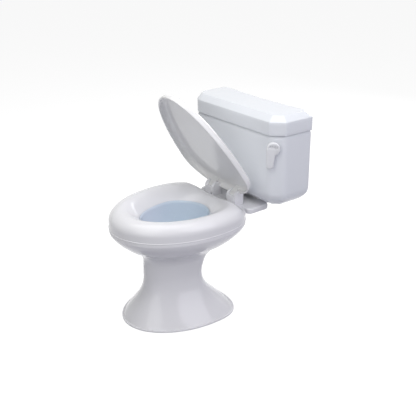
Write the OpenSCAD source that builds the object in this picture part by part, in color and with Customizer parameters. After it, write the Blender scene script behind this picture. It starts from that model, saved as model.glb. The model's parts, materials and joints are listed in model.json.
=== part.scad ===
// Potty training chair in the shape of a small toilet.
// Millimetres, +Z up, front of the seat towards -Y, origin on the floor at the middle of the footprint.
// Reaches to the front and rear are measured from the seat centre, where the seat is widest.

/* [Foot and pedestal] */
// Width of the foot at the floor
foot_w = 220; // [212:1:228]
// Reach of the foot in front of the seat centre
foot_front = 152.5; // [148:0.5:158]
// Reach of the foot behind the seat centre
foot_rear = 92.5; // [88:0.5:98]
// Squareness of the foot's rear half, where 2 is an ellipse
foot_rear_square = 2.8; // [2.4:0.1:3]
// Height of the thin rim round the foot
foot_rim_h = 5; // [4:0.5:7]
// Step from the foot rim in to the flare
foot_rim_step = 1.2; // [0.6:0.1:2]
// Width of the waist
waist_w = 110; // [106:1:116]
// Reach of the waist in front of the seat centre
waist_front = 104; // [100:1:108]
// Reach of the waist behind the seat centre
waist_rear = 26; // [24:1:32]
// Height of the waist
waist_z = 98; // [92:1:104]
// Width of the neck, where the bowl sits on the pedestal
neck_w = 130; // [127:1:136]
// Reach of the neck in front of the seat centre
neck_front = 100; // [98:1:106]
// Reach of the neck behind the seat centre
neck_rear = 54; // [52:1:58]
// Squareness of the neck's rear half, where 2 is an ellipse
neck_rear_square = 2.15; // [2:0.05:2.4]
// Depth of the neck below the seat ring's crest
neck_depth = 100; // [99:1:104]

/* [Bowl and seat ring] */
// Width of the seat ring over its seam bead
ring_w = 257; // [252:1:262]
// Reach of the seat ring in front of the seat centre
ring_front = 172; // [168:1:177]
// Reach of the seat ring behind the seat centre
ring_rear = 122; // [118:1:126]
// Squareness of the seat ring's rear half, where 2 is an ellipse
ring_rear_square = 2.6; // [2.4:0.1:2.9]
// Depth below the crest at which the bowl has its full width
belly_depth = 44; // [43:0.5:48]
// Depth of the seam between the bowl and the seat ring below the crest
seam_depth = 37.5; // [36:0.5:40]
// Height of the seam bead
bead_h = 2; // [1:0.5:3]
// How far the seam bead stands proud of the wall
bead_proud = 0.8; // [0.4:0.1:1.4]
// Depth below the crest at which the ring's wall starts to round over
shoulder_depth = 24; // [22:1:26]
// Height of the seat ring's crest
seat_h = 253; // [240:1:266]
// Place of the crest, as a share of the way from the ring's edge to the opening
crest_share = 0.42; // [0.36:0.01:0.48]
// Width of the seat opening
opening_w = 132; // [126:1:138]
// Reach of the opening in front of the seat centre
opening_front = 105; // [100:1:110]
// Reach of the opening behind the seat centre
opening_rear = 56; // [52:1:60]
// Depth of the opening's edge below the crest
opening_depth = 24; // [22:0.5:26]
// Depth of the ledge under the opening's edge, which carries the potty bowl
ledge_drop = 4; // [3.5:0.5:5]
// Width of that ledge
ledge_w = 8.5; // [8:0.25:9.5]

/* [Deck behind the seat] */
// Depth of the deck's top below the seat ring's crest
deck_depth = 23; // [21:0.5:23.5]
// Thickness of the deck
deck_t = 13; // [11:0.5:14]
// Width of the deck
deck_w = 176; // [168:1:184]
// Reach of the deck's wide part's front edge behind the seat centre
deck_front = 111; // [108:1:114]
// Reach of the deck's wide part's rear edge behind the seat centre
deck_rear = 172; // [166:1:176]
// Width of the tongue that carries the tank
tongue_w = 124; // [116:1:132]
// Reach of the tongue behind the seat centre
tongue_rear = 206; // [200:1:212]
// Rise of the plinth between the deck and the tank
plinth_h = 7; // [5:0.5:8]
// Radius of the deck's corners
deck_corner_r = 12; // [8:1:16]

/* [Hinges and seat lid] */
// Reach of the hinge axis behind the seat centre
hinge_y = 113; // [111:0.5:115]
// Height of the hinge axis above the deck
hinge_rise = 19; // [18:0.25:20]
// Distance between the two hinges
hinge_spacing = 76; // [68:1:82]
// Radius of the bracket's ears
ear_r = 12; // [11:0.25:12.5]
// Thickness of each ear
ear_t = 5.5; // [5:0.5:7]
// How far the bracket's front tab stands out from the ears
tab_proud = 2.5; // [2:0.25:3]
// Thickness of the bracket's sole, let into the deck
sole_t = 2.5; // [2:0.25:3.5]
// Width of the lid's hinge knuckle
knuckle_w = 14; // [12:1:18]
// Radius of the lid's hinge knuckle
knuckle_r = 10; // [8.5:0.25:10.5]
// Radius of the hinge pin
pin_r = 3; // [2.5:0.1:3.5]
// Thickness of the friction washers beside the knuckle
washer_t = 0.8; // [0.6:0.1:1.2]
// Angle to which the lid stands open
lid_open = 56.4; // [45:0.1:60]
// Width of the lid
lid_w = 218; // [212:1:224]
// Reach of the lid in front of its widest place
lid_front = 212; // [206:1:216]
// Reach of the lid behind its widest place
lid_rear = 71; // [68:1:74]
// Distance of the lid's rear edge behind the hinge axis
lid_tail = 5.8; // [4:0.2:6.4]
// Depth of the lid from its rim to its top
lid_depth = 18; // [15:0.5:18.5]
// Gap between the closed lid's rim and the ring's crest
lid_gap = 1; // [0.5:0.1:2]

/* [Tank] */
// Width of the tank body
tank_w = 290; // [282:1:300]
// Reach of the tank's front behind the seat centre
tank_front = 134; // [133.5:0.5:138]
// Depth of the tank body
tank_d = 101; // [96:1:106]
// Size of the chamfers on the tank's front corners
tank_chamfer = 24; // [22:1:28]
// Radius of the tank's rear corners
tank_rear_r = 6; // [4:1:10]
// Radius of the fillet round the tank's bottom
tank_fillet = 36; // [32:1:38]
// Height of the tank body up to the tank lid's skirt
tank_h = 163; // [150:1:176]
// Height of the tank lid
cover_h = 40; // [36:1:46]
// Height of the bevel round the tank lid
bevel_h = 11; // [9:0.5:13]
// How far the bevel runs in from the skirt
bevel_in = 15; // [12:0.5:18]
// How far the bevel runs in at the rear
bevel_rear_in = 6; // [4:0.5:10]
// How far the tank lid's skirt overhangs the tank body
lid_overhang = 2; // [1.5:0.1:3]
// How far the tank's shoulder runs in under the lid
tank_shoulder = 3; // [2.5:0.1:4]

/* [Flush lever] */
// Depth of the lever's pivot below the tank lid's skirt
lever_drop = 26; // [22:1:34]
// Distance of the pivot from the middle of the chamfer, towards the front
lever_shift = 5.5; // [4:0.5:5.5]
// Radius of the lever's round head
lever_head_r = 14; // [12:0.5:15]
// Length of the paddle below the pivot
lever_reach = 44; // [38:1:46]
// Width of the paddle at its top
lever_top_w = 20; // [17:0.5:22]
// Width of the paddle at its tip
lever_tip_w = 17; // [14:0.5:18]
// Distance of the paddle's middle line from the pivot, towards the front
paddle_shift = 4; // [2:0.5:5]
// Thickness of the paddle
lever_t = 6; // [4.5:0.5:8]
// Radius of the lever's shaft
shaft_r = 3; // [2.5:0.1:3.5]

/* [Potty bowl] */
// Depth of the potty bowl under the seat opening's edge
pot_depth = 66; // [60:1:68]
// Width of the potty bowl's floor
pot_floor_w = 76; // [66:1:84]
// Wall of the potty bowl
pot_wall = 2.5; // [2:0.25:3]

/* [Walls and fasteners] */
// Wall of the moulded shells
wall = 3; // [2.5:0.25:3.5]
// Thickness of the floors that carry screws
floor_t = 4; // [3:0.5:5]
// Radius of the small screws
screw_r = 1.5; // [1.25:0.05:1.75]
// Radius of the small screws' heads
screw_head_r = 2.8; // [2.5:0.1:3]
// Radius of the tank bolts
bolt_r = 3; // [2.5:0.1:3.5]
// Radius of the rubber foot pads
pad_r = 10; // [8:0.5:12]
// Height of the foot rim above the floor, on the pads
pad_proud = 1; // [0.6:0.1:1.5]

/* [Clearances] */
// Gap round a piece that drops into another
drop_gap = 0.5; // [0.4:0.05:0.7]
// Gap round a shaft that turns
running_gap = 0.06; // [0.03:0.01:0.09]
// Gap round a screw in its hole
screw_gap = 0.1; // [0.05:0.05:0.2]

/* [Hidden] */

$fn = 48;
sides = 40; // points round an egg-shaped section
overall_d = ring_front + tank_front + tank_d + lid_overhang;
seat_y = ring_front - overall_d/2;

flare_power = 1.7;
neck_power = 1.7;
belly_square = 1.3;
funnel_power = 1.6;
opening_rear_square = 1.85;

neck_z = seat_h - neck_depth;
belly_z = seat_h - belly_depth;
seam_z = seat_h - seam_depth;
shoulder_z = seat_h - shoulder_depth;
opening_z = seat_h - opening_depth;
deck_z = seat_h - deck_depth;

wall_in = bead_proud + wall;         // inner face of the ring and bowl walls, in from the bead
lip_gap = 0.4;
lip_t = 2;
lip_h = 6;
ledge_z = opening_z - ledge_drop;
rear_low_z = deck_z + 1.2;           // height of the crest where it has come down to the deck
rear_drop = (seat_h - rear_low_z)/(seat_h - opening_z);
drop_from_y = 70;
drop_to_y = 105;

plate_z = pad_proud + 1;             // underside of the base plate
plate_t = 3;
plate_gap = 0.6;
pad_pocket = 1.6;
pad_spots = [[-0.42, -0.62], [0.42, -0.62], [-0.42, 0.5], [0.42, 0.5]];
plate_screw_spots = [[-0.6, -0.2], [0.6, -0.2], [-0.25, 0.62], [0.25, 0.62]];
boss_r = 4.2;
screw_head_h = 1.6;
neck_screw_in = 26;
neck_screw_x = neck_w/2 - neck_screw_in;
neck_screw_y = 42;
neck_mid_y = (neck_rear - neck_front)/2;
neck_boss_h = 14;

ring_screw_angles = [50, 125, 235, 310];
counterbore = 2.6;
ring_boss_h = 9;
hinge_screw_z = deck_z - 5.5;        // underside of the plastic that the hinge screws' heads pull on
hinge_screw_y = 3;                   // the hinge screws' distance in front of the hinge axis
bite = 10;                           // length of screw held in plastic

hinge_z = deck_z + hinge_rise;
lug_w = knuckle_w + 2*(washer_t + 2*running_gap + ear_t);
ear_x = lug_w/2 - ear_t/2;
sole_d = 2*(ear_r + tab_proud);
tab_t = 4;
tab_lift = 1.4;
tab_above = 3;                       // the tab's top, above the hinge axis
pin_head_r = pin_r + 2;
pin_head_t = 1.5;
lid_swing_gap = 1;
lid_shoulder_in = 18;                // the rounding over the lid's top edge
lid_shoulder_h = 12;
lid_shoulder_curve = [[0, 1], [0.08, 0.62], [0.28, 0.28], [0.56, 0.1], [1, 0.025]];

rim_z = seat_h + lid_gap;
lid_flat_in = 34;                    // edge of the lid's flat middle, in from the rim
lid_cove_in = 14;                    // edge of the cove round the lid's inside
lid_y = hinge_y + lid_tail - lid_rear;

tank_rear = tank_front + tank_d;
tank_bottom = deck_z + plinth_h;
tank_seam_z = tank_bottom + tank_h;
tank_top_z = tank_seam_z + cover_h;
lever_z = tank_seam_z - lever_drop;
tongue_front = 99;                   // front edge of the pad under the hinges
neck_rim_z = tank_seam_z + 2;
tank_lip_in = tank_shoulder + wall + drop_gap;
bolt_x = 42;
bolt_y = (tank_front + tank_fillet + tank_rear - tank_fillet)/2;
bolt_head_r = bolt_r + 5;
bolt_head_t = 3;
gasket_t = 2;
plinth_in = 6;                       // sides of the plinth, in from the tongue's
tank_lip_h = 8;                      // height of the thin lip that the tank lid sits over
nut_h = 8;
wing_span = 30;
tip_past_nut = 4;

chamfer_mid = [tank_w/2 - tank_chamfer/2, tank_front + tank_chamfer/2];
bushing_r = shaft_r + 3;
bushing_flange_r = 9;
bushing_flange_t = 2;
bushing_l = 15;                      // from the tank's face to the bushing's inner end
lever_nut_t = 4;
lever_nut_r = bushing_r + 2.5;
spring_wire_r = 0.7;
spring_turns = 4;
spring_r = bushing_r + 1.9;
handle_x = bushing_flange_t + 0.5;   // back of the handle, out from the tank's face
head_t = 8;
arm_t = 4;
arm_l = 34;
arm_x = bushing_l + 0.8;
retainer_t = 1.2;

white = [0.91, 0.91, 0.93];
pot_blue = [0.80, 0.86, 0.93];
steel = [0.72, 0.73, 0.75];
grey_rubber = [0.55, 0.56, 0.58];
nylon = [0.86, 0.87, 0.88];

// ---- Outlines and lofts ----

function mix(a, b, t) = a + (b - a)*t;
function signed_power(v, p) = sign(v)*pow(abs(v), p);
function smooth(t) = let (u = max(0, min(1, t))) u*u*(3 - 2*u);

// An egg-shaped outline: half width, reach to the front and rear, and the squareness of each half
function egg(half_w, front, rear, square_front = 2, square_rear = 2) = [
    for (i = [0:sides - 1])
        let (a = 360*i/sides, is_rear = cos(a) > 0, p = 2/(is_rear ? square_rear : square_front))
        [half_w*signed_power(sin(a), p), (is_rear ? rear : front)*signed_power(cos(a), p)]
];
function at_z(outline, z) = [for (p = outline) [p.x, p.y, z]];

// Faces between two rings of n points, the first starting at point a and the second at point b
function band(a, b, n) = [
    for (i = [0:n - 1]) let (j = (i + 1) % n) each [[a + i, a + j, b + j], [a + i, b + j, b + i]]
];

// A solid through a list of rings, closed by a flat cap at each end
module loft(rings) {
    n = len(rings[0]);
    last = len(rings) - 1;
    polyhedron(
        points = [for (r = rings) each r],
        faces = concat(
            [[for (i = [n - 1:-1:0]) i]],
            [for (k = [0:last - 1]) each band(k*n, (k + 1)*n, n)],
            [[for (i = [0:n - 1]) last*n + i]]
        ),
        convexity = 8
    );
}

// A ring-shaped solid: the last ring of points joins the first
module loft_round(rings) {
    n = len(rings[0]);
    m = len(rings);
    polyhedron(
        points = [for (r = rings) each r],
        faces = [for (k = [0:m - 1]) each band(k*n, ((k + 1) % m)*n, n)],
        convexity = 8
    );
}

// A convex outline with its corners rounded: corners run clockwise, each [x, y, radius]
corner_steps = 4;
function turn_arc(p, q, r) =
    let (
        a_in = atan2(q.y - p.y, q.x - p.x) + 90,
        a_out = atan2(r.y - q.y, r.x - q.x) + 90,
        turn = (a_out - a_in) - 360*round((a_out - a_in)/360),
        n_in = [cos(a_in), sin(a_in)],
        n_out = [cos(a_out), sin(a_out)],
        centre = [q.x, q.y] - q.z*(n_in + n_out)/(1 + n_in*n_out)
    )
    [for (k = [0:corner_steps]) let (a = a_in + turn*k/corner_steps) centre + q.z*[cos(a), sin(a)]];
function rounded(c) = [
    for (i = [0:len(c) - 1]) each turn_arc(c[(i + len(c) - 1) % len(c)], c[i], c[(i + 1) % len(c)])
];

// ---- Sections of the shells ----

// The flare from the waist (0) down to the foot (1)
function flare(u) = (pow(u, flare_power) + (1 - cos(180*pow(u, 1.3)))/2)/2;
function pedestal_section(z, inset) =
    let (
        down = z < waist_z ? flare((waist_z - z)/waist_z) : 0,
        up = z > waist_z ? pow((z - waist_z)/(neck_z - waist_z), neck_power) : 0
    )
    at_z(egg(
        waist_w/2 + (foot_w - waist_w)/2*down + (neck_w - waist_w)/2*up - inset,
        waist_front + (foot_front - waist_front)*down + (neck_front - waist_front)*up - inset,
        waist_rear + (foot_rear - waist_rear)*down + (neck_rear - waist_rear)*up - inset,
        2, 2 + (foot_rear_square - 2)*down + (neck_rear_square - 2)*up
    ), z);
function pedestal_levels(bottom, top) = concat(
    [for (k = [0:9]) mix(bottom, waist_z, k/10)],
    [for (k = [0:5]) mix(waist_z, top, k/5)]
);

// The bowl's section at a share s of the way from the neck (0) to its full width (1)
function bowl_section(s, z, inset) = at_z(egg(
    mix(neck_w, ring_w - 2*bead_proud, s)/2 - inset,
    mix(neck_front, ring_front - bead_proud, s) - inset,
    mix(neck_rear, ring_rear - bead_proud, s) - inset,
    2, mix(neck_rear_square, ring_rear_square, s)
), z);
belly_steps = 8;
function belly_share(k) = pow(sin(90*k/belly_steps), 2/belly_square);
function belly_height(k) = belly_z - (belly_z - neck_z)*pow(cos(90*k/belly_steps), 2/belly_square);

// The seat ring's section, t of the way from its edge (0) to the opening (1)
function lowered(z, y) =
    z - max(0, z - opening_z)*rear_drop*smooth((y - drop_from_y)/(drop_to_y - drop_from_y));
function ring_section(t, inset, z, below = 0) = [
    for (p = egg(
        mix(ring_w, opening_w, t)/2 - inset,
        mix(ring_front, opening_front, t) - inset,
        mix(ring_rear, opening_rear, t) - inset,
        2, mix(ring_rear_square, opening_rear_square, t)
    )) [p.x, p.y, lowered(z, p.y) - below]
];
function crest_t(a) = crest_share*(1 - cos(a));
function crest_z(a) = shoulder_z + (seat_h - shoulder_z)*sin(a);
function funnel_t(v) = mix(crest_share, 1, v);
function funnel_z(v) = mix(seat_h, opening_z, pow(v, funnel_power));

// The ledge's middle line, where the ring screws sit
function ledge_point(a) =
    let (m = ledge_w/2 + 0.2, c = cos(a))
    [(opening_w/2 - m)*sin(a), (c > 0 ? opening_rear - m : opening_front - m)*c];

// The tank's outline, moved in by inset, with its rear face moved out again by rear_out
function tank_outline(inset, rear_out = 0) =
    let (
        x = tank_w/2 - inset,
        front = tank_front + inset,
        rear = tank_rear - inset + rear_out,
        cut = tank_chamfer - inset*(2 - sqrt(2)),
        rear_r = max(tank_rear_r - inset, 3),
        side_r = max(7 - inset, 2)
    )
    rounded([
        [x, rear, rear_r], [x, front + cut, side_r], [x - cut, front, side_r],
        [-x + cut, front, side_r], [-x, front + cut, side_r], [-x, rear, rear_r]
    ]);

// The lid's section when closed
function lid_section(inset, z) = at_z(egg(lid_w/2 - inset, lid_front - inset, lid_rear - inset), z);

// ---- Placement and small parts ----

module seat_frame() {
    translate([0, seat_y, 0]) children();
}

// Places its children on the tank's chamfer: x out of the face, z up, origin on the pivot
module on_chamfer() {
    translate([chamfer_mid.x, chamfer_mid.y, lever_z]) rotate([0, 0, -45])
        translate([0, -lever_shift, 0]) children();
}

module lid_swing() {
    seat_frame() translate([0, hinge_y, hinge_z]) rotate([-lid_open, 0, 0])
        translate([0, -hinge_y, -hinge_z]) children();
}

// A cylinder along x from x0 to x1
module rod_x(r, x0, x1) {
    translate([x0, 0, 0]) rotate([0, 90, 0]) cylinder(r = r, h = x1 - x0);
}

// A screw whose head's underside is at z = 0 and whose point is down, or up when flipped
module screw(r, head_r, head_h, length) {
    difference() {
        union() {
            translate([0, 0, -length]) cylinder(r = r, h = length + head_h/2);
            cylinder(r = head_r, h = head_h);
        }
        translate([-head_r*0.7, -0.4, head_h*0.45]) cube([head_r*1.4, 0.8, head_h]);
        translate([-0.4, -head_r*0.7, head_h*0.45]) cube([0.8, head_r*1.4, head_h]);
    }
}

// ---- Foot and pedestal ----

module at_plate(spots) {
    for (s = spots)
        translate([s.x*foot_w/2, s.y < 0 ? s.y*foot_front : s.y*foot_rear, 0]) children();
}

module at_neck() {
    for (x = [-1, 1], y = [-1, 1])
        translate([x*neck_screw_x, neck_mid_y + y*neck_screw_y, 0]) children();
}

module pedestal() {
    plate_top = plate_z + plate_t;
    color(white) seat_frame() difference() {
        loft(concat(
            [for (z = [pad_proud, foot_rim_h])
                at_z(egg(foot_w/2, foot_front, foot_rear, 2, foot_rear_square), z)],
            [for (z = pedestal_levels(foot_rim_h, neck_z)) pedestal_section(z, foot_rim_step)]
        ));
        difference() {
            loft([
                for (z = pedestal_levels(0, neck_z - floor_t))
                    pedestal_section(z, foot_rim_step + wall)
            ]);
            at_plate(plate_screw_spots) translate([0, 0, plate_top]) cylinder(r = boss_r, h = neck_z);
            at_neck() translate([0, 0, neck_z - floor_t - neck_boss_h]) cylinder(r = boss_r, h = neck_z);
        }
        at_plate(plate_screw_spots) cylinder(r = screw_r + screw_gap, h = plate_top + bite + 1);
        at_neck() translate([0, 0, neck_z - floor_t - bite]) cylinder(r = screw_r + screw_gap, h = neck_z);
    }
}

module base_plate() {
    inset = foot_rim_step + wall + plate_gap;
    color(nylon) seat_frame() difference() {
        translate([0, 0, plate_z]) linear_extrude(plate_t)
            polygon([for (p = pedestal_section(plate_z + plate_t, inset)) [p.x, p.y]]);
        at_plate(pad_spots) translate([0, 0, plate_z - 1]) cylinder(r = pad_r + screw_gap, h = pad_pocket + 1);
        at_plate(plate_screw_spots) cylinder(r = screw_r + screw_gap, h = neck_z);
    }
}

module foot_pads() {
    color(grey_rubber) seat_frame() at_plate(pad_spots) {
        cylinder(r = pad_r, h = plate_z + pad_pocket);
    }
}

module base_plate_screws() {
    color(steel) seat_frame() at_plate(plate_screw_spots)
        translate([0, 0, plate_z]) mirror([0, 0, 1])
            screw(screw_r, screw_head_r, screw_head_h, plate_t + bite);
}

// ---- Bowl ----

module at_ledge() {
    for (a = ring_screw_angles) translate(ledge_point(a)) children();
}

module bowl_shell() {
    post_top = ledge_z - ring_boss_h;
    color(white) seat_frame() difference() {
        union() {
            loft(concat(
                [for (k = [0:belly_steps]) bowl_section(belly_share(k), belly_height(k), 0)],
                [
                    bowl_section(1, seam_z, 0),
                    bowl_section(1, seam_z, wall + lip_gap),
                    bowl_section(1, seam_z + lip_h, wall + lip_gap),
                    bowl_section(1, seam_z + lip_h, wall + lip_gap + lip_t),
                    bowl_section(1, seam_z - 4, wall + lip_gap + lip_t),
                    bowl_section(1, seam_z - 9, wall)
                ],
                [
                    for (k = [belly_steps - 1:-1:0])
                        bowl_section(belly_share(k), belly_height(k) + floor_t*(1 - belly_share(k)), wall)
                ]
            ));
            at_ledge() translate([0, 0, neck_z + floor_t])
                cylinder(r = boss_r, h = post_top - neck_z - floor_t);
        }
        at_ledge() translate([0, 0, post_top - bite]) cylinder(r = screw_r + screw_gap, h = bite + 1);
        at_neck() cylinder(r = screw_r + screw_gap, h = seam_z);
    }
}

module pedestal_screws() {
    color(steel) seat_frame() at_neck() translate([0, 0, neck_z + floor_t])
        screw(screw_r, screw_head_r, screw_head_h, 2*floor_t + bite - 1);
}

// ---- Seat ring and deck ----

// The deck reaches into the ring under the hinges, where it is thinner to clear the bowl's lip
module deck_slab() {
    r = deck_corner_r;
    under = deck_z - deck_t;
    difference() {
        translate([0, 0, under]) linear_extrude(deck_t) union() {
            polygon(rounded([
                [deck_w/2, deck_rear, r], [deck_w/2, deck_front, r],
                [-deck_w/2, deck_front, r], [-deck_w/2, deck_rear, r]
            ]));
            polygon(rounded([
                [tongue_w/2, tongue_rear, r], [tongue_w/2, tongue_front, 2],
                [-tongue_w/2, tongue_front, 2], [-tongue_w/2, tongue_rear, r]
            ]));
        }
        loft([for (z = [under - 1, seam_z + lip_h + lip_gap]) bowl_section(1, z, wall)]);
    }
}

module plinth() {
    d = tank_d - 2*tank_fillet;
    translate([-tongue_w/2 + plinth_in, bolt_y - d/2, deck_z - 1])
        cube([tongue_w - 2*plinth_in, d, plinth_h + 1]);
}

module at_bolts() {
    for (x = [-bolt_x, bolt_x]) translate([x, bolt_y, 0]) children();
}

module at_hinge_screws() {
    translate([0, -hinge_screw_y, 0]) at_ears() children();
}

module at_ears() {
    for (side = [-1, 1], x = [-ear_x, ear_x])
        translate([side*hinge_spacing/2 + x, hinge_y, 0]) children();
}

module seat_ring() {
    color(white) seat_frame() difference() {
        union() {
            loft_round(concat(
                [
                    ring_section(0, 0, seam_z),
                    ring_section(0, 0, seam_z + bead_h),
                    ring_section(0, bead_proud, seam_z + bead_h + bead_proud),
                    ring_section(0, bead_proud, shoulder_z)
                ],
                [for (a = [15:15:90]) ring_section(crest_t(a), bead_proud*cos(a), crest_z(a))],
                [for (v = [0.25:0.25:1]) ring_section(funnel_t(v), 0, funnel_z(v))],
                [
                    ring_section(1, 0, ledge_z),
                    ring_section(1, ledge_w, ledge_z),
                    ring_section(1, ledge_w, ledge_z - wall),
                    ring_section(1, -wall, ledge_z - wall)
                ],
                [for (v = [0.75, 0.5, 0.25]) ring_section(funnel_t(v), 0, funnel_z(v), wall*1.3)],
                [for (a = [90, 60, 30]) ring_section(crest_t(a), wall_in*cos(a), crest_z(a), wall*sin(a))],
                [ring_section(0, wall_in, shoulder_z), ring_section(0, wall_in, seam_z)]
            ));
            deck_slab();
            plinth();
            at_ledge() translate([0, 0, ledge_z - ring_boss_h]) cylinder(r = boss_r, h = ring_boss_h - 0.5);
        }
        for (side = [-1, 1]) translate([side*hinge_spacing/2, hinge_y, deck_z - sole_t])
            translate([-lug_w/2 - 0.2, -sole_d/2 - 0.2, 0]) cube([lug_w + 0.4, sole_d + 0.4, seat_h]);
        at_hinge_screws() {
            cylinder(r = screw_r + screw_gap, h = deck_z + 1);
            cylinder(r = screw_head_r + screw_gap, h = hinge_screw_z);
        }
        at_bolts() cylinder(r = bolt_r + screw_gap, h = tank_bottom + 1);
        at_ledge() {
            cylinder(r = screw_r + screw_gap, h = ledge_z + 1);
            translate([0, 0, ledge_z - counterbore])
                cylinder(r = screw_head_r + screw_gap, h = counterbore + 1);
        }
    }
}

module ring_screws() {
    color(steel) seat_frame() at_ledge() translate([0, 0, ledge_z - counterbore])
        screw(screw_r, screw_head_r, screw_head_h, ring_boss_h - counterbore + bite - 1);
}

// ---- Hinges ----

// The rounded tab that closes the front of a bracket
module hinge_tab() {
    r = lug_w/2 - 1;
    mid_z = deck_z + tab_lift + r;
    translate([0, -ear_r - tab_proud, mid_z]) union() {
        rotate([-90, 0, 0]) cylinder(r = r, h = tab_t);
        translate([-r, 0, 0]) cube([2*r, tab_t, hinge_z + tab_above - mid_z]);
    }
}

module hinge_bracket(side) {
    color(white) seat_frame() translate([side*hinge_spacing/2, hinge_y, 0]) difference() {
        union() {
            translate([-lug_w/2, -sole_d/2, deck_z - sole_t]) cube([lug_w, sole_d, sole_t]);
            translate([-lug_w/2 + 1, -sole_d/2, deck_z - 1]) cube([lug_w - 2, tab_t, tab_lift + 3]);
            hinge_tab();
            for (x = [-ear_x, ear_x]) {
                translate([x, 0, hinge_z]) rod_x(ear_r, -ear_t/2, ear_t/2);
                translate([x - ear_t/2, -ear_r + 0.6, deck_z - sole_t])
                    cube([ear_t, 2*ear_r - 1.2, hinge_rise + sole_t]);
            }
        }
        translate([0, 0, hinge_z]) rod_x(pin_r + running_gap/2, -lug_w, lug_w);
        for (x = [-ear_x, ear_x]) translate([x, -hinge_screw_y, 0])
            cylinder(r = screw_r + screw_gap, h = hinge_z - pin_r - 3);
    }
}

module hinge_bracket_left() {
    hinge_bracket(-1);
}

module hinge_bracket_right() {
    hinge_bracket(1);
}

module hinge_screws() {
    color(steel) seat_frame() at_hinge_screws() translate([0, 0, hinge_screw_z]) mirror([0, 0, 1])
        screw(screw_r, screw_head_r, screw_head_h, hinge_z - pin_r - 4 - hinge_screw_z);
}

module hinge_pin(side) {
    color(steel) seat_frame() translate([side*hinge_spacing/2, hinge_y, hinge_z]) union() {
        rod_x(pin_r, -lug_w/2 - pin_head_t, lug_w/2 + pin_head_t);
        rod_x(pin_head_r, lug_w/2, lug_w/2 + pin_head_t);
        rod_x(pin_head_r, -lug_w/2 - pin_head_t, -lug_w/2);
    }
}

module hinge_pin_left() {
    hinge_pin(-1);
}

module hinge_pin_right() {
    hinge_pin(1);
}

module hinge_washers() {
    x0 = knuckle_w/2 + running_gap;
    color(nylon) seat_frame() for (side = [-1, 1], end = [0, 1])
        translate([side*hinge_spacing/2, hinge_y, hinge_z]) mirror([end, 0, 0]) difference() {
            rod_x(knuckle_r - 1, x0, x0 + washer_t);
            rod_x(pin_r + running_gap, x0 - 1, x0 + washer_t + 1);
        }
}

module seat_lid() {
    top = rim_z + lid_depth;
    color(white) lid_swing() difference() {
        union() {
            difference() {
                translate([0, lid_y, 0]) loft([
                    lid_section(lid_flat_in, top - wall),
                    lid_section(lid_cove_in, top - wall - 1.5),
                    lid_section(6, top - wall - 5),
                    lid_section(wall + 1, rim_z + 6),
                    lid_section(wall, rim_z),
                    lid_section(0, rim_z),
                    for (k = lid_shoulder_curve) lid_section(k[0]*lid_shoulder_in, top - k[1]*lid_shoulder_h),
                    lid_section(lid_flat_in, top)
                ]);
                for (side = [-1, 1]) translate([side*hinge_spacing/2, hinge_y, hinge_z])
                    rod_x(ear_r + lid_swing_gap, -lug_w/2 - pin_head_t - 0.6, lug_w/2 + pin_head_t + 0.6);
            }
            for (side = [-1, 1]) translate([side*hinge_spacing/2, hinge_y, hinge_z]) {
                rod_x(knuckle_r, -knuckle_w/2, knuckle_w/2);
                translate([-knuckle_w/2, -knuckle_r + 0.6, 0])
                    cube([knuckle_w, knuckle_r - 3, top - 1.5 - hinge_z]);
            }
        }
        for (side = [-1, 1]) translate([side*hinge_spacing/2, hinge_y, hinge_z])
            rod_x(pin_r + running_gap, -lug_w, lug_w);
    }
}

// ---- Potty bowl ----

module potty_bowl() {
    rim_half_w = opening_w/2 - drop_gap;
    rim_f = opening_front - drop_gap;
    rim_r = opening_rear - drop_gap;
    seat_in = ledge_w + 1;                // the wall hangs clear of the ledge's inner edge
    steps = 7;
    top = opening_z - 0.4;
    floor_z = opening_z - pot_depth;
    lip_z = ledge_z;
    // share 0 is the floor's outline and 1 the outline under the rim
    function pot_section(s, inset, z) = at_z(egg(
        mix(pot_floor_w/2, rim_half_w - seat_in, s) - inset,
        mix(pot_floor_w*0.72, rim_f - seat_in, s) - inset,
        mix(pot_floor_w*0.42, rim_r - seat_in, s) - inset,
        2, mix(2, opening_rear_square, s)
    ), z);
    function share(k) = pow(sin(90*k/steps), 1.1);
    function height(k) = mix(lip_z - 1, floor_z, pow(cos(90*k/steps), 1.1));
    function rim(inset, z) = at_z(
        egg(rim_half_w - inset, rim_f - inset, rim_r - inset, 2, opening_rear_square), z);
    color(pot_blue) seat_frame() loft(concat(
        [for (k = [0:steps]) pot_section(share(k), 0, height(k))],
        [
            rim(seat_in, lip_z),
            rim(0, lip_z),
            rim(0, top - 0.8),
            rim(1, top),
            rim(seat_in - 1.5, lip_z + pot_wall),
            rim(seat_in + pot_wall, lip_z - 1)
        ],
        [for (k = [steps - 1:-1:0]) pot_section(share(k), pot_wall, height(k) + pot_wall*(1 - share(k)))]
    ));
}

// ---- Tank ----

module tank_body() {
    quarter = [0:15:90];
    inside_r = tank_fillet - wall;
    color(white) seat_frame() difference() {
        loft(concat(
            [
                for (a = quarter)
                    at_z(tank_outline(tank_fillet*(1 - sin(a))), tank_bottom + tank_fillet*(1 - cos(a)))
            ],
            [
                at_z(tank_outline(0), tank_seam_z - tank_shoulder - 3),
                at_z(tank_outline(tank_shoulder*0.3), tank_seam_z - tank_shoulder*0.6 - 1),
                at_z(tank_outline(tank_shoulder), tank_seam_z - 0.5),
                at_z(tank_outline(tank_shoulder), neck_rim_z),
                at_z(tank_outline(tank_shoulder + wall), neck_rim_z),
                at_z(tank_outline(tank_shoulder + wall), tank_seam_z - tank_lip_h),
                at_z(tank_outline(wall), tank_seam_z - tank_lip_h - 2*tank_shoulder)
            ],
            [
                for (a = [90:-18:0]) at_z(
                    tank_outline(wall + inside_r*(1 - sin(a))),
                    tank_bottom + floor_t + inside_r*(1 - cos(a))
                )
            ]
        ));
        at_bolts() cylinder(r = bolt_r + screw_gap, h = tank_seam_z);
        on_chamfer() rod_x(bushing_r + screw_gap, -2*wall, wall);
    }
}

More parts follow.
